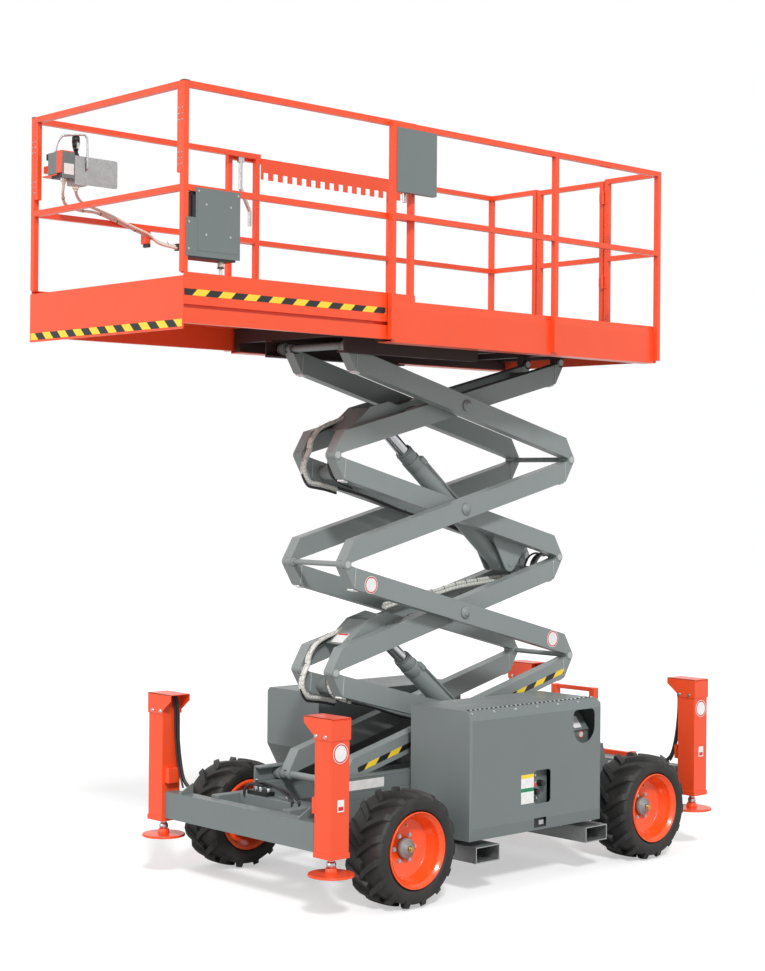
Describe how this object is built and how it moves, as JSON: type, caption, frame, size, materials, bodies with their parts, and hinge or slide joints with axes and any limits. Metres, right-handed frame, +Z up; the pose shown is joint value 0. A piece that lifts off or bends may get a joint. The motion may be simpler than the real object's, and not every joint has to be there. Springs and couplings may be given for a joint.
{
  "type": "scissor lift",
  "caption": "Rough-terrain scissor lift with stacked crossed arms, a railed platform with a roll-out extension, levelling outriggers, side cabinets and lugged tyres.",
  "frame": {"origin": "centre of the bounding box in plan, on the floor", "axes": "+X forward to the roll-out end, +Y to the left side, +Z up"},
  "size_m": [4.3539, 1.754, 4.4162],
  "materials": {
    "orange_paint": "semi-gloss orange enamel",
    "grey_paint": "semi-gloss grey enamel",
    "black_paint": "satin black",
    "tyre_rubber": "matt black rubber",
    "chrome_rod": "hard chrome",
    "zinc_steel": "zinc plated"
  },
  "bodies": {
    "chassis": {"chassis_frame": "grey_paint", "front_beam": "grey_paint", "rear_beam": "grey_paint", "outrigger_columns": "orange_paint", "outrigger_caps": "orange_paint", "fork_pockets": "grey_paint", "front_axle": "grey_paint", "rear_axle": "grey_paint", "cabinet_left": "grey_paint", "cabinet_right": "grey_paint", "engine": "black_paint", "fluid_tank": "black_paint", "base_controls": "black_paint", "entry_ladder": "orange_paint"},
    "knuckle_left": {"knuckle_left": "grey_paint"},
    "knuckle_right": {"knuckle_right": "grey_paint"},
    "tie_rod": {"tie_rod": "zinc_steel"},
    "wheel_front_left": {"tyre_front_left": "tyre_rubber", "rim_front_left": "orange_paint"},
    "wheel_front_right": {"tyre_front_right": "tyre_rubber", "rim_front_right": "orange_paint"},
    "wheel_rear_left": {"tyre_rear_left": "tyre_rubber", "rim_rear_left": "orange_paint"},
    "wheel_rear_right": {"tyre_rear_right": "tyre_rubber", "rim_rear_right": "orange_paint"},
    "foot_front_left": {"foot_front_left": "orange_paint"},
    "foot_front_right": {"foot_front_right": "orange_paint"},
    "foot_rear_left": {"foot_rear_left": "orange_paint"},
    "foot_rear_right": {"foot_rear_right": "orange_paint"},
    "inner_1": {"inner_arms_1": "grey_paint"},
    "outer_1": {"outer_arms_1": "grey_paint"},
    "inner_2": {"inner_arms_2": "grey_paint"},
    "outer_2": {"outer_arms_2": "grey_paint"},
    "inner_3": {"inner_arms_3": "grey_paint"},
    "outer_3": {"outer_arms_3": "grey_paint"},
    "inner_4": {"inner_arms_4": "grey_paint"},
    "outer_4": {"outer_arms_4": "grey_paint"},
    "barrel_upper": {"barrel_upper": "grey_paint"},
    "rod_upper": {"rod_upper": "chrome_rod"},
    "barrel_lower": {"barrel_lower": "grey_paint"},
    "rod_lower": {"rod_lower": "chrome_rod"},
    "platform": {"platform_deck": "black_paint", "side_panel_left": "orange_paint", "side_panel_right": "orange_paint", "rear_panel": "orange_paint", "guard_rail_left": "orange_paint", "guard_rail_right": "orange_paint", "guard_rail_rear": "orange_paint", "comb_rack": "orange_paint", "document_box": "grey_paint"},
    "extension": {"extension_deck": "orange_paint", "extension_rails": "orange_paint", "roll_out_handles": "zinc_steel", "control_box": "grey_paint", "outlet_box": "grey_paint"},
    "gate": {"gate": "orange_paint"},
    "door_left": {"door_left": "grey_paint"},
    "door_right": {"door_right": "grey_paint"}
  },
  "joints": [
    {"name": "lift", "type": "hinge", "parent": "chassis", "child": "inner_4", "pos_m": [-1.361, 0, 0.625], "axis": [0, -1, 0], "range_deg": [-14.28, 41.58]},
    {"name": "stage_3", "type": "hinge", "parent": "inner_4", "child": "inner_3", "pos_m": [0.62397, 0, 1.26307], "axis": [0, -1, 0], "range_deg": [-83.21, 28.61]},
    {"name": "stage_2", "type": "hinge", "parent": "inner_3", "child": "inner_2", "pos_m": [-1.361, 0, 1.90114], "axis": [0, -1, 0], "range_deg": [-28.61, 83.21]},
    {"name": "stage_1", "type": "hinge", "parent": "inner_2", "child": "inner_1", "pos_m": [0.62397, 0, 2.5392], "axis": [0, -1, 0], "range_deg": [-83.21, 28.61]},
    {"name": "platform_level", "type": "hinge", "parent": "inner_1", "child": "platform", "pos_m": [-1.361, 0, 3.17727], "axis": [0, -1, 0], "range_deg": [-14.33, 41.63]},
    {"name": "centre_4", "type": "hinge", "parent": "inner_4", "child": "outer_4", "pos_m": [-0.36852, 0, 0.94403], "axis": [0, -1, 0], "range_deg": [-83.21, 28.61]},
    {"name": "centre_3", "type": "hinge", "parent": "inner_3", "child": "outer_3", "pos_m": [-0.36852, 0, 1.5821], "axis": [0, -1, 0], "range_deg": [-28.61, 83.21]},
    {"name": "centre_2", "type": "hinge", "parent": "inner_2", "child": "outer_2", "pos_m": [-0.36852, 0, 2.22017], "axis": [0, -1, 0], "range_deg": [-83.21, 28.61]},
    {"name": "centre_1", "type": "hinge", "parent": "inner_1", "child": "outer_1", "pos_m": [-0.36852, 0, 2.85824], "axis": [0, -1, 0], "range_deg": [-28.61, 83.21]},
    {"name": "barrel_upper_pivot", "type": "hinge", "parent": "inner_2", "child": "barrel_upper", "pos_m": [-0.97274, 0, 1.86313], "axis": [0, -1, 0], "range_deg": [-1.34, 3.53]},
    {"name": "rod_upper_stroke", "type": "slide", "parent": "barrel_upper", "child": "rod_upper", "axis": [0.7783, 0, 0.628], "range_m": [-0.2494, 0.7259]},
    {"name": "barrel_lower_pivot", "type": "hinge", "parent": "inner_4", "child": "barrel_lower", "pos_m": [-0.97274, 0, 0.58699], "axis": [0, -1, 0], "range_deg": [-2.28, 0.91]},
    {"name": "rod_lower_stroke", "type": "slide", "parent": "barrel_lower", "child": "rod_lower", "axis": [0.7783, 0, 0.628], "range_m": [-0.2494, 0.7259]},
    {"name": "steer", "type": "hinge", "parent": "chassis", "child": "knuckle_left", "pos_m": [0.6205, 0.6, 0.33], "axis": [0, 0, 1], "range_deg": [-25, 25]},
    {"name": "steer_right", "type": "hinge", "parent": "chassis", "child": "knuckle_right", "pos_m": [0.6205, -0.6, 0.33], "axis": [0, 0, 1], "range_deg": [-27, 27]},
    {"name": "tie_rod_pivot", "type": "hinge", "parent": "knuckle_left", "child": "tie_rod", "pos_m": [0.5355, 0.6, 0.253], "axis": [0, 0, 1], "range_deg": [-27, 27]},
    {"name": "wheel_front_left_spin", "type": "hinge", "parent": "knuckle_left", "child": "wheel_front_left", "pos_m": [0.6205, 0.727, 0.33], "axis": [0, 1, 0], "continuous": true},
    {"name": "wheel_front_right_spin", "type": "hinge", "parent": "knuckle_right", "child": "wheel_front_right", "pos_m": [0.6205, -0.727, 0.33], "axis": [0, 1, 0], "continuous": true},
    {"name": "wheel_rear_left_spin", "type": "hinge", "parent": "chassis", "child": "wheel_rear_left", "pos_m": [-1.5025, 0.727, 0.33], "axis": [0, 1, 0], "continuous": true},
    {"name": "wheel_rear_right_spin", "type": "hinge", "parent": "chassis", "child": "wheel_rear_right", "pos_m": [-1.5025, -0.727, 0.33], "axis": [0, 1, 0], "continuous": true},
    {"name": "foot_front_left_stroke", "type": "slide", "parent": "chassis", "child": "foot_front_left", "axis": [0, 0, -1], "range_m": [0, 0.42]},
    {"name": "foot_front_right_stroke", "type": "slide", "parent": "chassis", "child": "foot_front_right", "axis": [0, 0, -1], "range_m": [0, 0.42]},
    {"name": "foot_rear_left_stroke", "type": "slide", "parent": "chassis", "child": "foot_rear_left", "axis": [0, 0, -1], "range_m": [0, 0.42]},
    {"name": "foot_rear_right_stroke", "type": "slide", "parent": "chassis", "child": "foot_rear_right", "axis": [0, 0, -1], "range_m": [0, 0.42]},
    {"name": "roll_out", "type": "slide", "parent": "platform", "child": "extension", "axis": [1, 0, 0], "range_m": [-1.4, 0]},
    {"name": "gate_swing", "type": "hinge", "parent": "platform", "child": "gate", "pos_m": [-1.639, 0.295, 3.80227], "axis": [0, 0, 1], "range_deg": [0, 90]},
    {"name": "door_left_lift", "type": "hinge", "parent": "chassis", "child": "door_left", "pos_m": [-0.412, 0.816, 1.068], "axis": [1, 0, 0], "range_deg": [0, 90]},
    {"name": "door_right_lift", "type": "hinge", "parent": "chassis", "child": "door_right", "pos_m": [-0.377, -0.816, 1.068], "axis": [-1, 0, 0], "range_deg": [0, 90]}
  ],
  "couplings": [
    {"joint": "stage_3", "follows": "lift", "ratio": -2},
    {"joint": "stage_2", "follows": "lift", "ratio": 2},
    {"joint": "stage_1", "follows": "lift", "ratio": -2},
    {"joint": "platform_level", "follows": "lift", "ratio": 1},
    {"joint": "centre_4", "follows": "lift", "ratio": -2},
    {"joint": "centre_3", "follows": "lift", "ratio": 2},
    {"joint": "centre_2", "follows": "lift", "ratio": -2},
    {"joint": "centre_1", "follows": "lift", "ratio": 2},
    {"joint": "barrel_upper_pivot", "follows": "lift", "ratio": 0.08},
    {"joint": "barrel_lower_pivot", "follows": "lift", "ratio": -0.05},
    {"joint": "rod_upper_stroke", "follows": "lift", "m_per_rad": 1},
    {"joint": "rod_lower_stroke", "follows": "lift", "m_per_rad": 1},
    {"joint": "steer_right", "follows": "steer", "ratio": 1},
    {"joint": "tie_rod_pivot", "follows": "steer", "ratio": -1}
  ]
}
